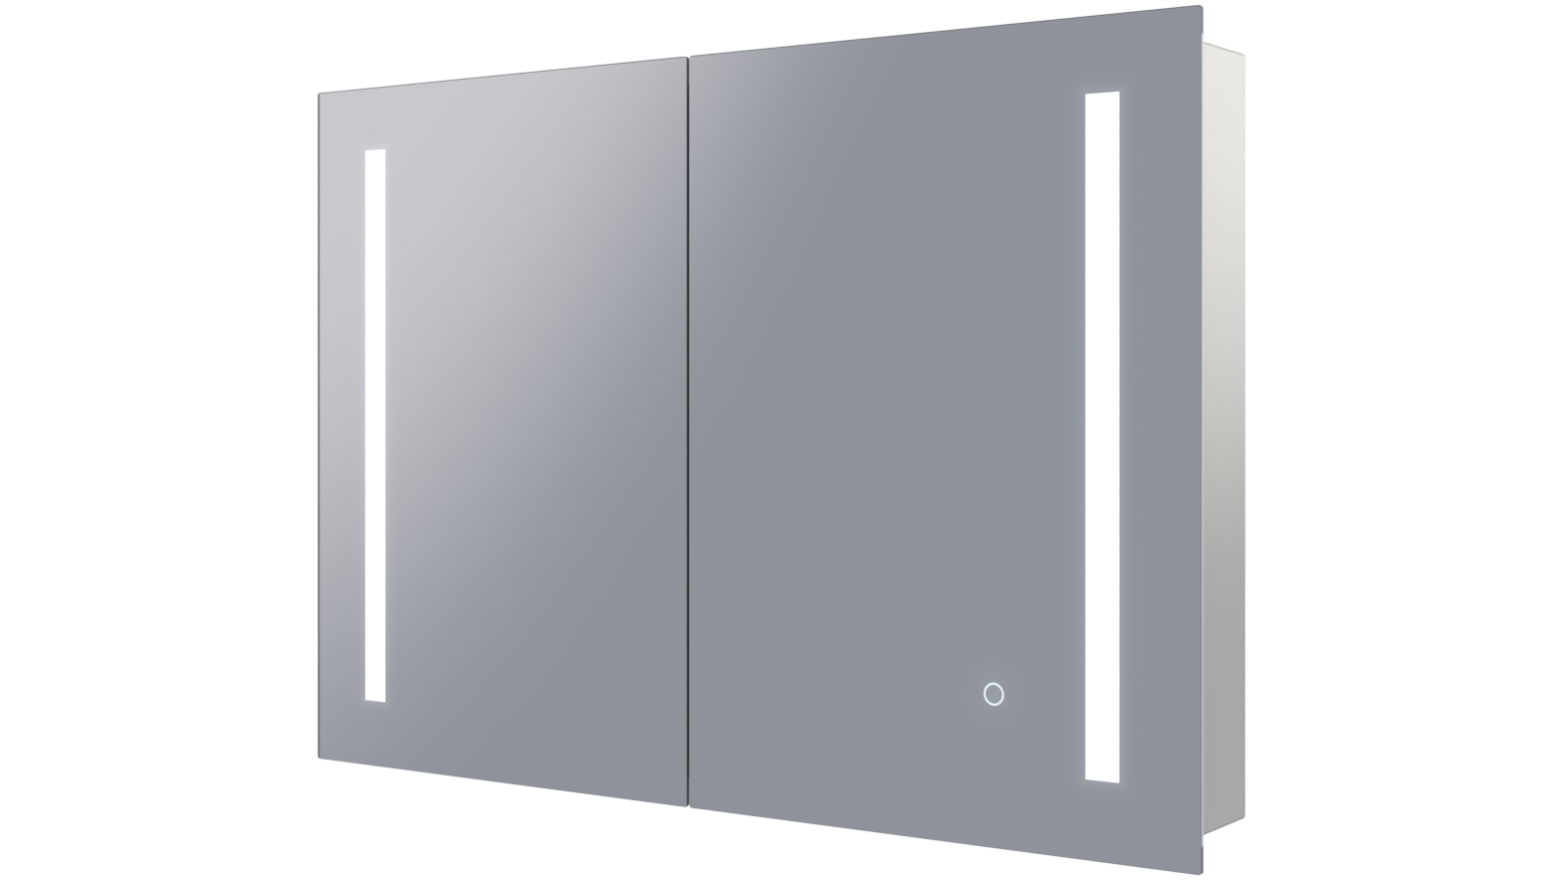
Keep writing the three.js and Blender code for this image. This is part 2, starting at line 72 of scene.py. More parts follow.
# Case sides: rounding of the corners at the wall, of the outer face's other edges, of the inner edges
CORNER_ROUNDING = 4.5 * MM
SIDE_ROUNDING = 2.3 * MM
INNER_ROUNDING = 0.7 * MM

PIVOT = {side: Vector(joint["pos_m"]) for side in SIDES for joint in frame["joints"]
         if joint["name"] == f"{DOOR[side]}_hinge"}

# Leads: radius, the level of the run, its clips, and where case and door leads meet on the hinge axis
LEAD_RADIUS = 1.5 * MM
LEAD_RUN_Z = 306 * MM
LEAD_JOIN_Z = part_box("lead_left_door")[0].z - 0.3 * MM
CLIPS_X = [x * MM for x in (-400, -50, 60, 160, 260, 360, 410)]
CLIP_LENGTH = 6 * MM

# Two numbers closer than this are the same place
CLOSE = 0.1 * MM


# --- Camera ---------------------------------------------------------------

def make_camera():
    """A level camera to the right of the cabinet, near mid-height."""
    data = bpy.data.cameras.new("camera")
    data.sensor_width = 36
    data.lens = 51.2
    data.shift_x = -0.0151
    data.shift_y = -0.0393
    camera = bpy.data.objects.new("camera", data)
    camera.location = (1.2302, -1.8013, 0.0488)
    camera.rotation_euler = (math.radians(90), 0, math.radians(33.68))
    bpy.context.collection.objects.link(camera)
    bpy.context.scene.camera = camera


make_camera()


# --- Material helpers -------------------------------------------------------

class Look:
    """A principled material with the few node patterns that the finishes share."""

    def __init__(self, name):
        self.material = bpy.data.materials.new(name)
        self.material.use_nodes = True
        self.tree = self.material.node_tree
        self.shader = self.tree.nodes["Principled BSDF"]
        self.place = self.tree.nodes.new("ShaderNodeTexCoord").outputs["Object"]

    def node(self, kind, inputs=None, **settings):
        made = self.tree.nodes.new(kind)
        for key, value in settings.items():
            setattr(made, key, value)
        for key, value in (inputs or {}).items():
            self.put(value, made.inputs[key])
        return made

    def put(self, value, socket):
        if isinstance(value, bpy.types.NodeSocket):
            self.tree.links.new(value, socket)
        else:
            socket.default_value = value

    def math(self, operation, a, b=0.0):
        return self.node("ShaderNodeMath", {0: a, 1: b}, operation=operation).outputs[0]

    def noise(self, scale, detail=3.0, roughness=0.5, stretch=(1, 1, 1)):
        """Noise with its size set by scale, in waves per metre, and squeezed by stretch."""
        mapped = self.node("ShaderNodeMapping", {"Vector": self.place, "Scale": stretch})
        found = self.node("ShaderNodeTexNoise", {
            "Vector": mapped.outputs[0], "Scale": scale, "Detail": detail, "Roughness": roughness})
        return found.outputs["Fac"]

    def between(self, value, low, high, start=0.3, stop=0.7):
        """value from start..stop carried to low..high."""
        found = self.node("ShaderNodeMapRange", {
            "Value": value, "From Min": start, "From Max": stop, "To Min": low, "To Max": high})
        return found.outputs["Result"]

    def mix(self, factor, a, b):
        made = self.node("ShaderNodeMix", data_type="RGBA")
        self.put(factor, made.inputs[0])
        self.put(a if isinstance(a, bpy.types.NodeSocket) else (*a, 1), made.inputs[6])
        self.put(b if isinstance(b, bpy.types.NodeSocket) else (*b, 1), made.inputs[7])
        return made.outputs[2]

    def colour(self, a, b, factor):
        self.put(self.mix(factor, a, b), self.shader.inputs["Base Color"])

    def rough(self, low, high, pattern):
        self.put(self.between(pattern, low, high), self.shader.inputs["Roughness"])

    def bump(self, height, strength, distance):
        made = self.node("ShaderNodeBump", {
            "Height": height, "Strength": strength, "Distance": distance})
        self.put(made.outputs[0], self.shader.inputs["Normal"])

    def set(self, **sockets):
        for name, value in sockets.items():
            self.shader.inputs[name.replace("_", " ")].default_value = value
        return self


def satin_paint():
    look = Look("satin_paint")
    look.colour((0.855, 0.847, 0.812), (0.885, 0.877, 0.845), look.noise(7, 4))
    look.rough(0.34, 0.46, look.noise(45, 4))
    look.bump(look.noise(900, 2), 0.12, 0.15 * MM)
    return look.set(Specular_IOR_Level=0.45, Coat_Weight=0.08, Coat_Roughness=0.3).material


def rim_painted_shade():
    """The case paint made darker over a rounded rim, as painted shade along the rounded edges of the side panels.
    """
    look = Look("rim_painted_shade")
    look.colour((0.58, 0.575, 0.56), (0.66, 0.655, 0.64), look.noise(70, 4))
    look.rough(0.40, 0.55, look.noise(90, 4))
    look.bump(look.noise(900, 2), 0.12, 0.15 * MM)
    return look.set(Specular_IOR_Level=0.4).material


def frame_foil():
    look = Look("frame_foil")
    look.colour((0.80, 0.80, 0.785), (0.84, 0.84, 0.828), look.noise(9, 4))
    look.rough(0.36, 0.5, look.noise(60, 4))
    look.bump(look.noise(1400, 2), 0.15, 0.1 * MM)
    return look.set(Specular_IOR_Level=0.45).material


def back_board():
    look = Look("back_board")
    look.colour((0.70, 0.69, 0.665), (0.76, 0.755, 0.735), look.noise(14, 6, 0.6))
    look.rough(0.55, 0.72, look.noise(120, 5))
    look.bump(look.noise(520, 5, 0.7), 0.25, 0.2 * MM)
    return look.material


def distance_to_box(look, centre, half):
    """How far a point of the mirror lies outside an upright rectangle, in metres."""
    split = look.node("ShaderNodeSeparateXYZ", {0: look.place})
    gaps = []
    for axis, middle, reach in (("X", centre[0], half[0]), ("Z", centre[1], half[1])):
        away = look.math("ABSOLUTE", look.math("SUBTRACT", split.outputs[axis], middle))
        gaps.append(look.math("MAXIMUM", look.math("SUBTRACT", away, reach), 0.0))
    joined = look.node("ShaderNodeCombineXYZ", {0: gaps[0], 1: gaps[1]})
    return look.node("ShaderNodeVectorMath", {0: joined.outputs[0]}, operation="LENGTH").outputs["Value"]


def mirror_silver(name, glows=()):
    """Silvered glass. Each glow of light spreading in it is (centre, half size, reach, strength)."""
    look = Look(name)
    look.colour((0.885, 0.893, 0.905), (0.900, 0.907, 0.917), look.noise(5, 3))
    look.rough(0.004, 0.020, look.noise(38, 5, 0.65))
    look.set(Metallic=1.0)
    total = None
    for centre, half, reach, strength in glows:
        distance = distance_to_box(look, centre, half)
        fade = look.math("EXPONENT", look.math("MULTIPLY", distance, -1 / reach))
        part = look.math("MULTIPLY", fade, strength)
        total = part if total is None else look.math("ADD", total, part)
    if total is not None:
        look.put(total, look.shader.inputs["Emission Strength"])
        look.set(Emission_Color=(0.86, 0.97, 1.0, 1))
    return look.material


def glass_edge():
    """The ground edge of the mirror glass, nearly black where no light reaches it."""
    look = Look("glass_edge")
    look.colour((0.15, 0.165, 0.17), (0.21, 0.23, 0.235), look.noise(160, 3, stretch=(1, 4, 1)))
    look.rough(0.22, 0.4, look.noise(300, 3))
    look.bump(look.noise(1200, 2), 0.1, 0.1 * MM)
    return look.material


def outer_glass_edge():
    """The outer edge leaks a line of lamp light beside the case and is dark past its ends."""
    look = Look("outer_glass_edge")
    case_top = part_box("case_top")[1].z
    height = look.math("ABSOLUTE", look.node("ShaderNodeSeparateXYZ", {0: look.place}).outputs["Z"])
    beside = look.between(height, 1.0, 0.0, case_top - 2 * MM, case_top)
    look.put(look.mix(beside, (0.27, 0.275, 0.28), (0.30, 0.31, 0.32)), look.shader.inputs["Base Color"])
    look.rough(0.22, 0.4, look.noise(300, 3))
    look.put(look.math("MULTIPLY", beside, 0.40), look.shader.inputs["Emission Strength"])
    return look.set(Emission_Color=(0.93, 0.96, 1.0, 1)).material


def glass_arris():
    look = Look("glass_arris")
    look.colour((0.18, 0.185, 0.195), (0.22, 0.225, 0.235), look.noise(90, 3))
    look.rough(0.3, 0.45, look.noise(400, 3))
    return look.set(Specular_IOR_Level=0.3).material


def mirror_backing():
    look = Look("mirror_backing")
    look.colour((0.16, 0.19, 0.21), (0.21, 0.24, 0.26), look.noise(40, 5))
    look.rough(0.5, 0.7, look.noise(200, 4))
    look.bump(look.noise(700, 3), 0.2, 0.1 * MM)
    return look.material


def lit_acrylic():
    look = Look("lit_acrylic")
    grain = look.noise(900, 2)
    look.colour((0.93, 0.95, 0.96), (0.97, 0.98, 0.98), grain)
    look.rough(0.35, 0.5, grain)
    look.put(look.between(look.noise(60, 2), 0.46, 0.52), look.shader.inputs["Emission Strength"])
    return look.set(Emission_Color=(0.97, 0.99, 1.0, 1)).material


def lit_ring():
    look = Look("lit_ring")
    grain = look.noise(2500, 2)
    look.colour((0.62, 0.68, 0.69), (0.68, 0.74, 0.75), grain)
    look.rough(0.3, 0.45, grain)
    look.put(look.between(look.noise(300, 2), 0.44, 0.50), look.shader.inputs["Emission Strength"])
    return look.set(Emission_Color=(0.86, 0.98, 1.0, 1)).material


def anodised():
    look = Look("anodised_aluminium")
    lines = look.noise(260, 3, 0.6, stretch=(6, 6, 0.15))
    look.colour((0.66, 0.67, 0.69), (0.76, 0.77, 0.785), lines)
    look.rough(0.28, 0.42, lines)
    look.bump(lines, 0.12, 0.05 * MM)
    return look.set(Metallic=1.0).material


def nickel_steel():
    look = Look("nickel_steel")
    scratches = look.noise(420, 4, 0.65, stretch=(1, 5, 1))
    look.colour((0.62, 0.61, 0.59), (0.74, 0.73, 0.71), scratches)
    look.rough(0.18, 0.34, scratches)
    look.bump(scratches, 0.1, 0.04 * MM)
    return look.set(Metallic=1.0).material


def shelf_glass():
    look = Look("shelf_glass")
    look.colour((0.86, 0.965, 0.93), (0.89, 0.975, 0.945), look.noise(8, 2))
    look.rough(0.01, 0.04, look.noise(40, 4))
    return look.set(Transmission_Weight=1.0, IOR=1.5).material


def shelf_edge():
    """The polished edge of the shelf glass, where its green gathers."""
    look = Look("shelf_glass_edge")
    streaks = look.noise(220, 3, stretch=(0.1, 0.1, 4))
    look.colour((0.20, 0.42, 0.35), (0.36, 0.60, 0.52), streaks)
    look.rough(0.06, 0.16, look.noise(300, 3))
    return look.set(Transmission_Weight=0.25, IOR=1.5, Coat_Weight=0.5, Coat_Roughness=0.05).material


def moulded(name, dark, light, rough, grain=1500):
    look = Look(name)
    look.colour(dark, light, look.noise(30, 4))
    look.rough(rough[0], rough[1], look.noise(250, 4))
    look.bump(look.noise(grain, 2), 0.25, 0.08 * MM)
    return look.material


def circuit_white():
    """White solder mask with a row of small lamps."""
    look = Look("circuit_board")
    rows = look.node("ShaderNodeTexWave", {
        "Vector": look.place, "Scale": 25.0, "Distortion": 0.0}, bands_direction="Z")
    chips = look.math("GREATER_THAN", rows.outputs["Fac"], 0.8)
    look.colour((0.84, 0.84, 0.79), (0.92, 0.80, 0.30), chips)
    look.rough(0.4, 0.6, look.noise(200, 3))
    look.bump(chips, 0.4, 0.3 * MM)
    return look.material


def lamp_chip():
    look = Look("lamp_chip")
    look.colour((0.90, 0.74, 0.22), (0.95, 0.82, 0.34), look.noise(800, 2))
    look.rough(0.25, 0.4, look.noise(900, 2))
    return look.material


def heating_film():
    """Dark film with its printed tracks."""
    look = Look("heating_film")
    tracks = look.node("ShaderNodeTexWave", {
        "Vector": look.place, "Scale": 12.0, "Distortion": 0.0}, bands_direction="X")
    line = look.math("GREATER_THAN", tracks.outputs["Fac"], 0.6)
    look.colour((0.03, 0.03, 0.035), (0.11, 0.10, 0.09), line)
    look.rough(0.45, 0.65, look.noise(300, 3))
    look.bump(line, 0.3, 0.05 * MM)
    return look.material


def soft_rubber():
    look = Look("clear_rubber")
    look.colour((0.66, 0.69, 0.69), (0.72, 0.75, 0.75), look.noise(200, 3))
    look.rough(0.25, 0.4, look.noise(400, 3))
    return look.set(Transmission_Weight=0.5, IOR=1.45).material


def window_centre(side):
    """The middle of the frosted window, a little above the diffuser's, and half its length."""
    low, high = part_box(f"diffuser_{side}")
    return (low + high) / 2 + UP * WINDOW_RISE, (high.z - low.z) / 2


def glow_of(side):
    middle, half_long = window_centre(side)
    return ((middle.x, middle.z), (WINDOW_WIDTH[side] / 2, half_long), 5.5 * MM, 0.075)


ring_low, ring_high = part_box("touch_ring")
ring_middle = (ring_low + ring_high) / 2
ring_glow = ((ring_middle.x, ring_middle.z), (5 * MM, 5 * MM), 9.0 * MM, 0.045)

FINISH = {
    "paint": satin_paint(),
    # rim: painted shade, a darker paint for the rounded edges of the case sides
    "rim": rim_painted_shade(),
    "foil": frame_foil(),
    "back": back_board(),
    "silver_left": mirror_silver("mirror_silver_left", [glow_of("left")]),
    "silver_right": mirror_silver("mirror_silver_right", [glow_of("right"), ring_glow]),
    "silver": mirror_silver("mirror_silver_inner"),
    "edge": glass_edge(),
    "outer_edge": outer_glass_edge(),
    "arris": glass_arris(),
    "backing": mirror_backing(),
    "lit": lit_acrylic(),
    "ring": lit_ring(),
    "aluminium": anodised(),
    "steel": nickel_steel(),
    "shelf": shelf_glass(),
    "shelf_edge": shelf_edge(),
    "white_plastic": moulded("white_plastic", (0.80, 0.80, 0.78), (0.86, 0.86, 0.84), (0.35, 0.5)),
    "grey_plastic": moulded("grey_plastic", (0.30, 0.31, 0.32), (0.36, 0.37, 0.38), (0.4, 0.55)),
    "dark_plastic": moulded("dark_plastic", (0.022, 0.023, 0.026), (0.04, 0.041, 0.045), (0.4, 0.58)),
    "circuit": circuit_white(),
    "chip": lamp_chip(),
    "film": heating_film(),
    "rubber": soft_rubber(),
}

SLOT_FINISH = {
    "case_paint": "paint", "back_board": "back", "door_frame": "foil",
    "mirror_glass": "silver", "inner_mirror_glass": "silver", "shelf_glass": "shelf",
    "anodised_aluminium": "aluminium", "hinge_steel": "steel", "white_plastic": "white_plastic",
    "dark_plastic": "dark_plastic", "circuit_board": "circuit", "lit_diffuser": "lit",
    "clear_rubber": "rubber", "heating_film": "film",
}


# --- CAD nodes: finishes and softened edges ----------------------------------

def soften(thing, width, segments=3):
    made = thing.modifiers.new("soft_edges", "BEVEL")
    made.width = width
    made.segments = segments
    made.limit_method = "ANGLE"
    made.angle_limit = math.radians(40)
    made.harden_normals = True


EDGE_RADIUS = {
    "case_paint": 0.9, "back_board": 0.4, "door_frame": 0.7, "inner_mirror_glass": 0.5,
    "shelf_glass": 0.9, "anodised_aluminium": 0.3, "hinge_steel": 0.25, "white_plastic": 1.0,
}


def finish_cad_nodes():
    for entry in frame["record"]["subparts"]:
        thing = frame["nodes"][entry["node"]]
        slot = entry["material_slot"]
        thing.data.materials.clear()
        thing.data.materials.append(FINISH[SLOT_FINISH[slot]])
        if slot in EDGE_RADIUS:
            soften(thing, EDGE_RADIUS[slot] * MM)


finish_cad_nodes()


# --- Mesh helpers -----------------------------------------------------------

def add_piece(name, builder, finishes, body, smooth=False, replaces=()):
    mesh = bpy.data.meshes.new(name)
    bmesh.ops.recalc_face_normals(builder, faces=builder.faces)
    builder.to_mesh(mesh)
    builder.free()
    for finish in finishes:
        mesh.materials.append(FINISH[finish])
    if smooth:
        mesh.shade_smooth()
        mesh.set_sharp_from_angle(angle=math.radians(35))
    made = bpy.data.objects.new(name, mesh)
    bpy.context.collection.objects.link(made)
    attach(made, body)
    if replaces:
        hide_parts(*replaces)
    return made


def rounded_outline(low, high, radius, steps=5):
    """Corner points of a rounded rectangle in (x, z), anticlockwise."""
    points = []
    corners = ((high[0] - radius, high[1] - radius, 0), (low[0] + radius, high[1] - radius, 90),
               (low[0] + radius, low[1] + radius, 180), (high[0] - radius, low[1] + radius, 270))
    for x, z, start in corners:
        for step in range(steps + 1):
            angle = math.radians(start + 90 * step / steps)
            points.append((x + radius * math.cos(angle), z + radius * math.sin(angle)))
    return points


def bridge(builder, front, back, material=0):
    count = len(front)
    for i in range(count):
        j = (i + 1) % count
        builder.faces.new((front[i], back[i], back[j], front[j])).material_index = material


def stack(builder, outlines, materials=None):
    """Joins closed outlines one after the other and closes both ends. materials names each band's slot."""
    materials = materials or (0,) * (len(outlines) + 1)
    rings = [[builder.verts.new(point) for point in outline] for outline in outlines]
    builder.faces.new(rings[0]).material_index = materials[0]
    for band, (front, back) in enumerate(zip(rings, rings[1:])):
        bridge(builder, front, back, materials[band + 1])
    builder.faces.new(list(reversed(rings[-1]))).material_index = materials[-1]


def plate_outline(low, high, corner, y, inset=(0, 0, 0, 0), steps=5):
    """A rounded rectangle at depth y. inset is taken off at the left, right, lower and upper edge."""
    left, right, lower, upper = inset
    radius = max(corner - max(inset), 0.3 * MM)
    low_corner = (low[0] + left, low[1] + lower)
    high_corner = (high[0] - right, high[1] - upper)
    return [(x, y, z) for x, z in rounded_outline(low_corner, high_corner, radius, steps)]


def raised_plate(builder, low, high, corner, base_y, rise, chamfer, steps=5):
    """A rounded plate standing out of a wall towards -Y, with a chamfered rim."""
    stack(builder, [
        plate_outline(low, high, corner, base_y - rise, (chamfer,) * 4, steps),
        plate_outline(low, high, corner, base_y - rise + chamfer, steps=steps),
        plate_outline(low, high, corner, base_y, steps=steps)])


def turned(builder, middle, axis, profile, steps=36, bored=False):
    """A body turned about axis. profile is (distance along it, radius or a function of the angle)."""
    middle = Vector(middle)
    axis = Vector(axis).normalized()
    across = axis.orthogonal().normalized()
    other = axis.cross(across)
    rings = []
    for height, radius in profile:
        ring = []
        for i in range(steps):
            angle = 2 * math.pi * i / steps
            reach = radius(angle) if callable(radius) else radius
            offset = (across * math.cos(angle) + other * math.sin(angle)) * reach
            ring.append(middle + axis * height + offset)
        rings.append(ring)
    if not bored:
        stack(builder, rings)
        return
    made = [[builder.verts.new(point) for point in ring] for ring in rings]
    for front, back in zip(made, made[1:] + made[:1]):
        bridge(builder, front, back)


def star(radius):
    return lambda angle: radius * (1 + 0.16 * math.cos(6 * angle))


def hexagon(half_width):
    sixth = math.pi / 3
    return lambda angle: half_width / math.cos((angle + sixth / 2) % sixth - sixth / 2)


def add_screw(builder, place, outward, radius):
    """A domed screw head with a star recess, sunk a little into what it holds."""
    turned(builder, place, outward, [
        (-0.05 * radius, radius), (0.18 * radius, radius), (0.36 * radius, 0.86 * radius),
        (0.46 * radius, 0.62 * radius), (0.46 * radius, star(0.42 * radius)),
        (0.16 * radius, star(0.38 * radius))])


def extruded_along_x(builder, outline, x0, x1):
    stack(builder, [[(x, y, z) for y, z in outline] for x in (x0, x1)])


# --- Mirrors and what shines through them ------------------------------------

def make_mirror(side):
    low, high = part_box(f"mirror_{side}")
    front, back = low.y, high.y
    outer_x = low.x if side == "left" else high.x
    ends = (LOWER_ARRIS, UPPER_ARRIS)
    ground = (OUTER_ARRIS[side], SPLIT_ARRIS) if side == "left" else (SPLIT_ARRIS, OUTER_ARRIS[side])
    corners = ((low.x, low.z), (high.x, high.z), GLASS_CORNER)
    seam = 0.4 * MM
    builder = bmesh.new()
    stack(builder, [
        plate_outline(*corners, front, (*ground, *ends)),
        plate_outline(*corners, front + ARRIS_DEPTH),
        plate_outline(*corners, back - seam),
        plate_outline(*corners, back, (seam,) * 4)], (0, 1, 2, 3, 3))
    for face in builder.faces:
        if face.material_index == 2 and abs(face.calc_center_median().x - outer_x) < seam:
            face.material_index = 4
    add_piece(f"mirror_sheet_{side}", builder, (f"silver_{side}", "arris", "edge", "backing", "outer_edge"),
              DOOR[side], replaces=(f"mirror_{side}",))


def make_window(side):
    """The opal window over the lamp strip, flush with the mirror."""
    middle, half_long = window_centre(side)
    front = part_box(f"mirror_{side}")[0].y
    half = WINDOW_WIDTH[side] / 2
    corners = ((middle.x - half, middle.z - half_long), (middle.x + half, middle.z + half_long), 0.6 * MM)
    builder = bmesh.new()
    stack(builder, [
        plate_outline(*corners, front - WINDOW_PROUD, (0.05 * MM,) * 4),
        plate_outline(*corners, front),
        plate_outline(*corners, front + WINDOW_SUNK)])
    add_piece(f"lit_window_{side}", builder, ("lit",), DOOR[side])


def make_touch_ring():
    """The ring of light round the touch control."""
    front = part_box("mirror_right")[0].y
    outer = (ring_high.x - ring_low.x) / 2
    inner = outer - RING_LINE
    lip = 0.2 * MM
    builder = bmesh.new()
    turned(builder, (ring_middle.x, front, ring_middle.z), BACK, [
        (WINDOW_SUNK, outer), (-0.6 * WINDOW_PROUD, outer), (-WINDOW_PROUD, outer - lip),
        (-WINDOW_PROUD, inner + lip), (-0.6 * WINDOW_PROUD, inner), (WINDOW_SUNK, inner)],
        steps=72, bored=True)
    add_piece("touch_ring_window", builder, ("ring",), DOOR["right"])


def make_lamp_chips(side):
    """The row of small lamps on the circuit board."""
    low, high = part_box(f"led_board_{side}")
    middle_x = (low.x + high.x) / 2
    half, pitch = 1.5 * MM, 12 * MM
    count = int((high.z - low.z) / pitch)
    builder = bmesh.new()
    for i in range(count):
        z = (low.z + high.z) / 2 + (i - (count - 1) / 2) * pitch
        raised_plate(builder, (middle_x - half, z - half), (middle_x + half, z + half),
                     0.4 * MM, low.y + 0.05 * MM, 0.8 * MM, 0.2 * MM, steps=1)
    add_piece(f"lamp_chips_{side}", builder, ("chip",), DOOR[side])


for side in SIDES:
    make_mirror(side)
    make_window(side)
    make_lamp_chips(side)
make_touch_ring()


# --- Case ---------------------------------------------------------------------

driver_low, driver_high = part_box("led_driver")
lead_run_y = (driver_low.y + driver_high.y) / 2


def make_case_side(side):
    """A side board whose outer edges are rounded more than its inner ones."""
    low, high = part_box(f"case_{side}_side")
    outer_x = low.x if side == "left" else high.x
    builder = bmesh.new()
    outline = [(low.y, low.z), (high.y, low.z), (high.y, high.z), (low.y, high.z)]
    extruded_along_x(builder, outline, low.x, high.x)
    weight = builder.edges.layers.float.new("bevel_weight_edge")
    for edge in builder.edges:
        on_outer_face = [abs(vertex.co.x - outer_x) < CLOSE for vertex in edge.verts]
        at_wall = all(abs(vertex.co.y - high.y) < CLOSE for vertex in edge.verts)
        radius = SIDE_ROUNDING if any(on_outer_face) else INNER_ROUNDING
        if at_wall and any(on_outer_face) and not all(on_outer_face):
            radius = CORNER_ROUNDING
        edge[weight] = radius / CORNER_ROUNDING
    made = add_piece(f"side_panel_{side}", builder, ("paint", "rim"), CASE,
                     replaces=(f"case_{side}_side",))
    rounding = made.modifiers.new("rounded_edges", "BEVEL")
    rounding.limit_method = "WEIGHT"
    rounding.width = CORNER_ROUNDING
    rounding.segments = 6
    # The rounded edge faces take the darker rim finish, which is painted shade along the side panel's edges
    rounding.material = 1


def make_shelf(side, place):
    """A glass shelf with rounded corners and ground, polished edges."""
    node = f"shelf_{side}_{place}"
    low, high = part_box(node)
    arris = 0.7 * MM
    corner = 4 * MM

    def outline(z, inset):
        near = (low.x + inset, low.y + inset)
        far = (high.x - inset, high.y - inset)
        return [(x, y, z) for x, y in rounded_outline(near, far, corner - inset)]

    builder = bmesh.new()
    stack(builder, [outline(low.z, arris), outline(low.z + arris, 0),
                    outline(high.z - arris, 0), outline(high.z, arris)], (0, 1, 1, 1, 0))
    add_piece(f"glass_shelf_{side}_{place}", builder, ("shelf", "shelf_edge"), CASE,
              replaces=(node,))


def make_driver_cover_details():
    """Screws and air slots with raised rims on the front wall of the driver's cover."""
    low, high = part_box("driver_cover")
    middle_z = (low.z + high.z) / 2
    screws = bmesh.new()
    for x in (low.x + 18 * MM, (low.x + high.x) / 2, high.x - 18 * MM):
        add_screw(screws, (x, low.y, middle_z), -BACK, 3.2 * MM)
    add_piece("driver_cover_screws", screws, ("steel",), CASE, smooth=True)
    louvres = bmesh.new()
    slots = 12
    for i in range(slots):
        x = driver_low.x + (i + 0.5) * (driver_high.x - driver_low.x) / slots
        raised_plate(louvres, (x - 2 * MM, middle_z - 8 * MM), (x + 2 * MM, middle_z + 8 * MM),
                     1.9 * MM, low.y + 0.1 * MM, 1.0 * MM, 0.5 * MM)
    add_piece("driver_cover_louvres", louvres, ("paint",), CASE, smooth=True)


def make_shelf_strip_screws():
    builder = bmesh.new()
    for side in SIDES:
        for wall, inward in (("west", 1), ("east", -1)):
            low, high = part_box(f"shelf_strip_{side}_{wall}")
            face_x = low.x + 3 * MM if inward > 0 else high.x - 3 * MM
            for z in (low.z + 12 * MM, 0, high.z - 12 * MM):
                add_screw(builder, (face_x, (low.y + high.y) / 2, z), (inward, 0, 0), 3.4 * MM)
    add_piece("shelf_strip_screws", builder, ("steel",), CASE, smooth=True)


def make_hanger_details(side):
    """A snap-on face with the two adjusting screws of a wall hanger."""
    low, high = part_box(f"hanger_{side}")
    middle = (low + high) / 2
    border = 2.5 * MM
    screw_rise = 8.5 * MM
    face = bmesh.new()
    raised_plate(face, (low.x + border, low.z + border), (high.x - border, high.z - border),
                 4 * MM, low.y + 0.1 * MM, 1.6 * MM, 0.6 * MM)
    for rise in (-screw_rise, screw_rise):
        turned(face, (middle.x, low.y - 1.4 * MM, middle.z + rise), -BACK, [
            (0, 5.6 * MM), (0.6 * MM, 5.6 * MM), (0.9 * MM, 5.2 * MM), (0.9 * MM, 4.4 * MM), (0, 4.4 * MM)],
            bored=True)
    add_piece(f"hanger_face_{side}", face, ("white_plastic",), CASE, smooth=True)
    screws = bmesh.new()
    for rise in (-screw_rise, screw_rise):
        add_screw(screws, (middle.x, low.y - 1.5 * MM, middle.z + rise), -BACK, 3.8 * MM)
    add_piece(f"hanger_screws_{side}", screws, ("steel",), CASE, smooth=True)


def make_gland():
    """A supply gland: thread through the back panel, hexagon collar and ribbed dome nut."""
    low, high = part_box("cable_gland")
    middle = ((low.x + high.x) / 2, 0, (low.z + high.z) / 2)
    panel = -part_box("back_panel")[0].y
    flange = (high.x - low.x) / 2
    builder = bmesh.new()

    def ribbed(radius):
        return lambda angle: radius * (1 + 0.025 * math.cos(16 * angle))

    depth = -low.y
    turned(builder, middle, -BACK, [
        (0.5 * MM, 4 * MM), (0.5 * MM, 7.6 * MM), (1.2 * MM, 8 * MM), (panel + 0.3 * MM, 8 * MM),
        (panel + 0.3 * MM, hexagon(0.86 * flange)), (panel + 4.2 * MM, hexagon(0.86 * flange)),
        (panel + 4.8 * MM, 0.8 * flange), (panel + 5.2 * MM, ribbed(0.78 * flange)),
        (depth - 4 * MM, ribbed(0.74 * flange)), (depth - 1.6 * MM, 0.62 * flange), (depth, 0.48 * flange),
        (depth, 4 * MM)], steps=96, bored=True)
    add_piece("supply_gland", builder, ("grey_plastic",), CASE, smooth=True,
              replaces=("cable_gland",))


def make_grommet():
    """A rubber ring that lines the hole where the lead passes the divider."""
    low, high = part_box("divider")
    middle = ((low.x + high.x) / 2, lead_run_y, LEAD_RUN_Z)
    half = (high.x - low.x) / 2
    builder = bmesh.new()
    lip, bore, mouth, hole, rim, flange = (radius * MM for radius in (1.6, 1.8, 2.4, 3.8, 4.6, 5.6))
    wall = half - 0.05 * MM
    turned(builder, middle, (1, 0, 0), [
        (-half - lip, mouth), (-half - lip, rim), (-half - 0.6 * lip, flange), (-wall, flange),
        (-wall, hole), (wall, hole), (wall, flange),
        (half + 0.6 * lip, flange), (half + lip, rim), (half + lip, mouth), (half, bore), (-half, bore)],
        bored=True)
    add_piece("lead_grommet", builder, ("dark_plastic",), CASE, smooth=True)


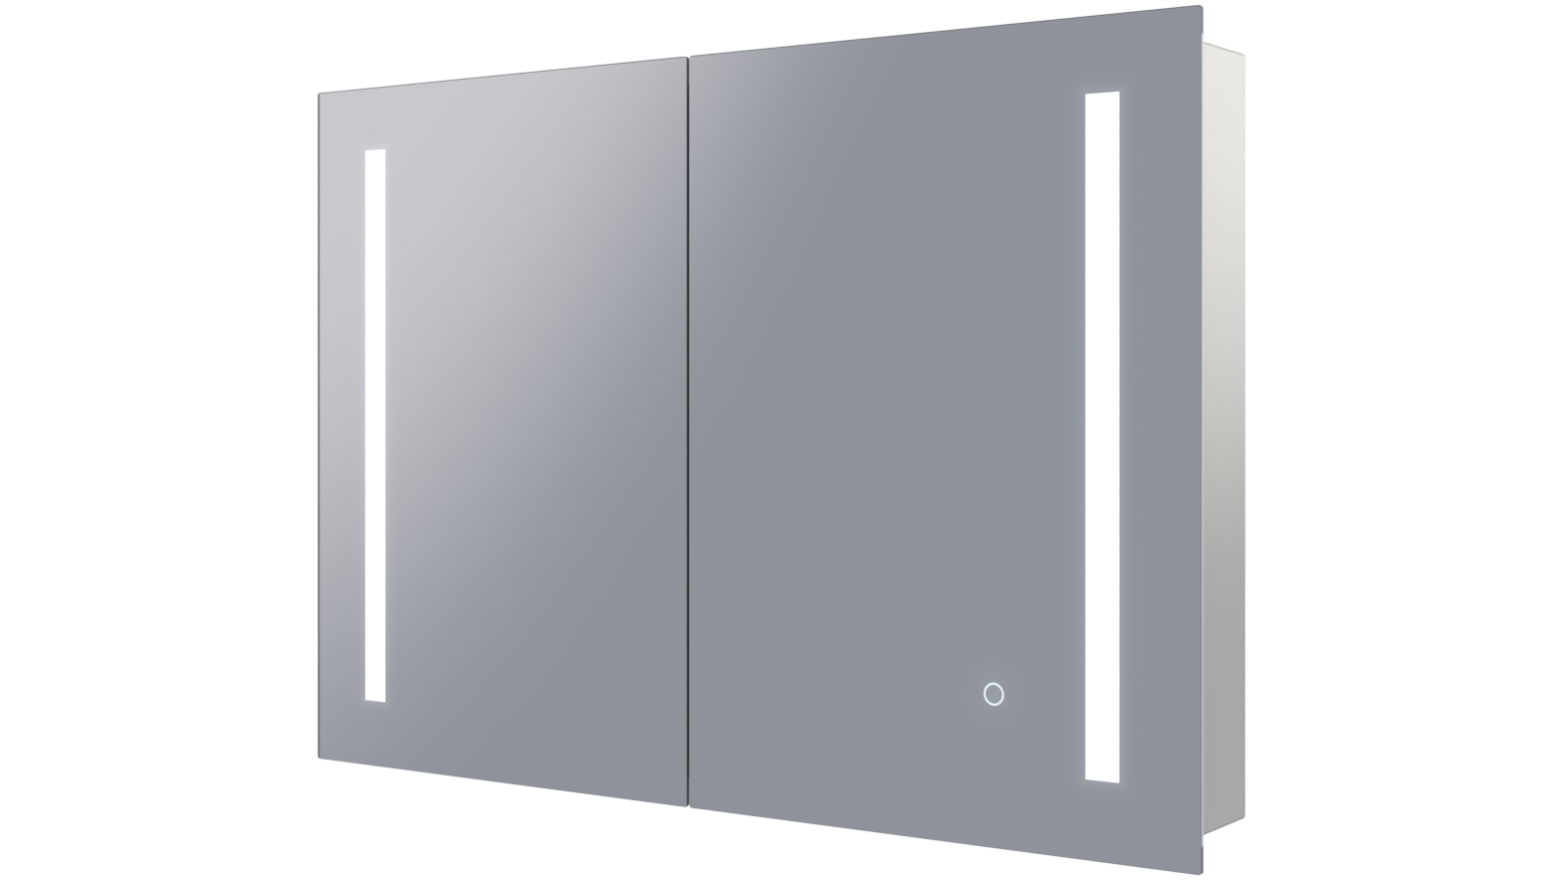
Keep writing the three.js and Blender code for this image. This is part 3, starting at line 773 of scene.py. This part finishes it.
def make_cable_clips():
    """Saddles that hold the lead under the case's top."""
    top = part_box("case_top")[0].z
    inner, outer, foot = 1.75 * MM, 2.6 * MM, 6.5 * MM
    drop = LEAD_RUN_Z - top
    outline = [(foot, 0), (foot, -1 * MM), (outer, -1.2 * MM)]
    steps = 12
    outline += [(outer * math.cos(math.pi * i / steps), drop - outer * math.sin(math.pi * i / steps))
                for i in range(steps + 1)]
    outline += [(-outer, -1.2 * MM), (-foot, -1 * MM), (-foot, 0), (-inner, 0)]
    outline += [(-inner * math.cos(math.pi * i / steps), drop - inner * math.sin(math.pi * i / steps))
                for i in range(steps + 1)]
    outline.append((inner, 0))
    placed = [(lead_run_y + y, top + z) for y, z in outline]
    builder = bmesh.new()
    for x in CLIPS_X:
        extruded_along_x(builder, placed, x - CLIP_LENGTH / 2, x + CLIP_LENGTH / 2)
    add_piece("lead_clips", builder, ("white_plastic",), CASE)


# --- Leads --------------------------------------------------------------------

def lead_tail(side):
    """The last stretch of a case lead: forward along the side, then up the hinge axis."""
    tail = [(13.4, 58, 33), (13.4, 39, 17), (13.4, 20, -5), (13.3, 4, -13),
            (9.5, -0.6, -13.6), (4, 0, -12.5), (0.6, 0, -8), (0, 0, -3), (0, 0, 0)]
    pivot = PIVOT[side]
    return [(pivot.x + INWARD[side] * u * MM, pivot.y + back * MM, LEAD_JOIN_Z + rise * MM)
            for u, back, rise in tail]


def case_lead_route(side):
    """From the driver along the top of the case to its side, and on to the hinge axis."""
    away = -INWARD[side]
    outlet = driver_low.x if side == "left" else driver_high.x
    level = (driver_low.z + driver_high.z) / 2
    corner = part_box(f"case_{side}_side")[1 if side == "left" else 0].x - away * 12 * MM
    route = [(outlet + away * 0.3 * MM, level), (outlet + away * 40 * MM, level + 2 * MM),
             (outlet + away * 80 * MM, LEAD_RUN_Z)]
    if side == "right":
        divider_low, divider_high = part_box("divider")
        route += [((divider_low.x + divider_high.x) / 2, LEAD_RUN_Z), (200 * MM, LEAD_RUN_Z)]
    route.append((corner - away * 30 * MM, LEAD_RUN_Z))
    points = [(x, lead_run_y, z) for x, z in route]
    points.append((corner - away * 8 * MM, lead_run_y - 3 * MM, LEAD_RUN_Z))
    return points + lead_tail(side)


def door_lead_route(side):
    """On up the hinge axis, in through the stile and down to the circuit board."""
    strip = abs(window_centre(side)[0].x - PIVOT[side].x) / MM
    path = [(0, 0, 0.3), (0, 0, 5), (0.8, 0.5, 11), (5, 2.8, 16.5), (14, 5.4, 18.5), (34, 6.4, 18.5),
            (strip - 10, 7, 18.5), (strip - 3, 8.5, 17.5), (strip, 9.5, 14), (strip, 9.6, 11.8)]
    pivot = PIVOT[side]
    return [(pivot.x + INWARD[side] * u * MM, pivot.y - forward * MM, LEAD_JOIN_Z + rise * MM)
            for u, forward, rise in path]


def smooth_route(points, spacing):
    """A centripetal Catmull-Rom curve through the points."""
    through = [Vector(point) for point in points]
    through = [2 * through[0] - through[1], *through, 2 * through[-1] - through[-2]]
    curve = []
    for a, b, c, d in zip(through, through[1:], through[2:], through[3:]):
        t0 = 0.0
        t1 = t0 + math.sqrt((b - a).length)
        t2 = t1 + math.sqrt((c - b).length)
        t3 = t2 + math.sqrt((d - c).length)
        steps = max(2, math.ceil((c - b).length / spacing))
        for step in range(steps):
            t = t1 + (t2 - t1) * step / steps
            ab = a.lerp(b, (t - t0) / (t1 - t0))
            bc = b.lerp(c, (t - t1) / (t2 - t1))
            cd = c.lerp(d, (t - t2) / (t3 - t2))
            abc = ab.lerp(bc, (t - t0) / (t2 - t0))
            bcd = bc.lerp(cd, (t - t1) / (t3 - t1))
            curve.append(abc.lerp(bcd, (t - t1) / (t2 - t1)))
    curve.append(through[-2])
    return curve


def make_lead(name, points, body, node):
    """A round lead swept along its route without twist."""
    route = smooth_route(points, 4 * MM)
    steps = 12
    across = (route[1] - route[0]).orthogonal().normalized()
    outlines = []
    for i, place in enumerate(route):
        along = (route[min(i + 1, len(route) - 1)] - route[max(i - 1, 0)]).normalized()
        across = (across - along * across.dot(along)).normalized()
        other = along.cross(across)
        outlines.append([place + (across * math.cos(angle) + other * math.sin(angle)) * LEAD_RADIUS
                         for angle in (2 * math.pi * k / steps for k in range(steps))])
    builder = bmesh.new()
    stack(builder, outlines)
    add_piece(name, builder, ("dark_plastic",), body, smooth=True, replaces=(node,))


def make_lead_sleeve(side):
    """A short sleeve round the lead where it turns with the door."""
    builder = bmesh.new()
    middle = (PIVOT[side].x, PIVOT[side].y, LEAD_JOIN_Z)
    turned(builder, middle, UP, [
        (-3.2 * MM, 1.65 * MM), (-3.2 * MM, 2.0 * MM), (-2.8 * MM, 2.3 * MM), (2.8 * MM, 2.3 * MM),
        (3.2 * MM, 2.0 * MM), (3.2 * MM, 1.65 * MM)], steps=24, bored=True)
    add_piece(f"lead_sleeve_{side}", builder, ("grey_plastic",), CASE, smooth=True)


for side in SIDES:
    make_case_side(side)
    make_hanger_details(side)
    for place in ("lower", "upper"):
        make_shelf(side, place)
    make_lead(f"case_lead_{side}", case_lead_route(side), CASE, f"lead_{side}_case")
    make_lead(f"door_lead_{side}", door_lead_route(side), DOOR[side], f"lead_{side}_door")
    make_lead_sleeve(side)
make_driver_cover_details()
make_shelf_strip_screws()
make_gland()
make_grommet()
make_cable_clips()


# --- Hinges and bumpers ---------------------------------------------------------

def make_wing_screws():
    builder = bmesh.new()
    for side, place in HINGES:
        low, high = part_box(f"hinge_{side}_{place}_wing")
        inward = INWARD[side]
        face_x = high.x if inward > 0 else low.x
        middle_z = (low.z + high.z) / 2
        for forward, rise in ((9, -15), (9, 15), (25, 0)):
            place_on_wing = (face_x, high.y - forward * MM, middle_z + rise * MM)
            add_screw(builder, place_on_wing, (inward, 0, 0), 3.4 * MM)
    add_piece("hinge_wing_screws", builder, ("steel",), CASE, smooth=True)


def make_leaf_screws(side):
    builder = bmesh.new()
    pivot = PIVOT[side]
    for place in ("upper", "lower"):
        low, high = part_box(f"hinge_{side}_{place}_leaf")
        middle_z = (low.z + high.z) / 2
        rear_y = pivot.y - 1 * MM
        for u, rise in ((16.5, -15), (16.5, 15), (23, 0)):
            place_on_leaf = (pivot.x + INWARD[side] * u * MM, rear_y, middle_z + rise * MM)
            add_screw(builder, place_on_leaf, BACK, 2.8 * MM)
    add_piece(f"hinge_leaf_screws_{side}", builder, ("steel",), DOOR[side], smooth=True)


def make_pin_heads():
    """The riveted heads of the hinge pins."""
    builder = bmesh.new()
    for side, place in HINGES:
        low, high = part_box(f"hinge_{side}_{place}_pin")
        for end, outward in ((low.z, -UP), (high.z, UP)):
            turned(builder, (PIVOT[side].x, PIVOT[side].y, end), outward, [
                (-0.1 * MM, 2.1 * MM), (0.25 * MM, 2.1 * MM), (0.5 * MM, 1.7 * MM),
                (0.62 * MM, 0.9 * MM)], steps=24)
    add_piece("hinge_pin_heads", builder, ("steel",), CASE, smooth=True)


def make_bumpers(side):
    """Domed clear buffers on the back of the door."""
    builder = bmesh.new()
    nodes = [f"bumper_{side}_{place}" for place in ("top", "bottom")]
    for node in nodes:
        low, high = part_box(node)
        reach, tall = (high.x - low.x) / 2, high.y - low.y
        turned(builder, ((low.x + high.x) / 2, low.y, (low.z + high.z) / 2), BACK, [
            (0, reach), (0.4 * tall, reach), (0.7 * tall, 0.88 * reach), (0.9 * tall, 0.66 * reach),
            (tall, 0.3 * reach)])
    add_piece(f"door_buffers_{side}", builder, ("rubber",), DOOR[side], smooth=True,
              replaces=nodes)


make_wing_screws()
make_pin_heads()
for side in SIDES:
    make_leaf_screws(side)
    make_bumpers(side)


# --- Studio -------------------------------------------------------------------

# The soft light that the mirrors show: a tall ellipse on the sphere of directions
LIGHT_MIDDLE = (0, 0, 1)
LIGHT_HEADING = 125.5
LIGHT_REACH = (0.479, 1000, 1.161)
LIGHT_FADE = (0.843, 1.127)
LIGHT_COLOUR = (0.640, 0.645, 0.668, 1)
ROOM_COLOUR = (0.308, 0.321, 0.361, 1)
AMBIENT = (0.476, 0.476, 0.476, 1)
WHITE = (1, 1, 1, 1)


def make_world():
    """White behind the cabinet; a slate room with one tall soft light for the mirrors to show."""
    world = bpy.data.worlds.new("studio")
    world.use_nodes = True
    tree = world.node_tree
    tree.nodes.clear()
    link = tree.links.new

    def node(kind, **settings):
        made = tree.nodes.new(kind)
        for key, value in settings.items():
            setattr(made, key, value)
        return made

    place = node("ShaderNodeTexCoord")
    mapped = node("ShaderNodeMapping", vector_type="TEXTURE")
    mapped.inputs["Location"].default_value = LIGHT_MIDDLE
    mapped.inputs["Rotation"].default_value = (0, 0, math.radians(LIGHT_HEADING))
    mapped.inputs["Scale"].default_value = LIGHT_REACH
    link(place.outputs["Generated"], mapped.inputs["Vector"])
    length = node("ShaderNodeVectorMath", operation="LENGTH")
    link(mapped.outputs[0], length.inputs[0])
    fade = node("ShaderNodeMapRange", interpolation_type="SMOOTHERSTEP")
    fade.inputs["From Min"].default_value = LIGHT_FADE[0]
    fade.inputs["From Max"].default_value = LIGHT_FADE[1]
    link(length.outputs["Value"], fade.inputs["Value"])
    room = node("ShaderNodeMix", data_type="RGBA")
    room.inputs[6].default_value = LIGHT_COLOUR
    room.inputs[7].default_value = ROOM_COLOUR
    link(fade.outputs["Result"], room.inputs[0])

    rays = node("ShaderNodeLightPath")
    reflected = node("ShaderNodeMix", data_type="RGBA")
    reflected.inputs[6].default_value = AMBIENT
    link(rays.outputs["Is Glossy Ray"], reflected.inputs[0])
    link(room.outputs[2], reflected.inputs[7])
    seen = node("ShaderNodeMix", data_type="RGBA")
    seen.inputs[7].default_value = WHITE
    link(rays.outputs["Is Camera Ray"], seen.inputs[0])
    link(reflected.outputs[2], seen.inputs[6])
    background = node("ShaderNodeBackground")
    link(seen.outputs[2], background.inputs["Color"])
    output = node("ShaderNodeOutputWorld")
    link(background.outputs[0], output.inputs["Surface"])
    bpy.context.scene.world = world


def make_floor():
    mesh = bpy.data.meshes.new("floor")
    reach, level = 30.0, -3.0
    corners = [(-reach, -reach), (reach, -reach), (reach, reach), (-reach, reach)]
    mesh.from_pydata([(x, y, level) for x, y in corners], [], [(0, 1, 2, 3)])
    look = Look("pale_floor")
    look.colour((0.86, 0.86, 0.86), (0.88, 0.88, 0.88), look.noise(0.6, 2))
    look.rough(0.8, 0.9, look.noise(3, 2))
    look.set(Emission_Color=WHITE, Emission_Strength=0.62, Specular_IOR_Level=0.0)
    mesh.materials.append(look.material)
    floor = bpy.data.objects.new("floor", mesh)
    floor.visible_glossy = False
    floor.visible_diffuse = False
    bpy.context.collection.objects.link(floor)


def aim(thing, target):
    direction = Vector(target) - thing.location
    thing.rotation_euler = direction.to_track_quat("-Z", "Y").to_euler()


def make_area(name, place, target, size, power):
    data = bpy.data.lights.new(name, "AREA")
    data.shape = "RECTANGLE"
    data.size, data.size_y = size
    data.energy = power
    light = bpy.data.objects.new(name, data)
    light.location = place
    light.visible_glossy = False
    bpy.context.collection.objects.link(light)
    aim(light, target)


def make_spot(name, place, target, spread, power):
    data = bpy.data.lights.new(name, "SPOT")
    data.spot_size = math.radians(spread)
    data.spot_blend = 1.0
    data.shadow_soft_size = 0.05
    data.color = (1.0, 0.99, 0.955)
    data.energy = power
    light = bpy.data.objects.new(name, data)
    light.location = place
    light.visible_glossy = False
    bpy.context.collection.objects.link(light)
    aim(light, target)


make_world()
make_floor()
make_spot("side_key", place=(3.2, 0.25, 0.40), target=(0.482, -0.055, 0.57), spread=30.5, power=167.6)
make_area("front_fill", place=(-1.4, -2.6, 1.8), target=(0, 0, 0), size=(1.6, 1.6), power=45)
bpy.context.scene.view_settings.view_transform = "Standard"
bpy.context.scene.view_settings.look = "None"
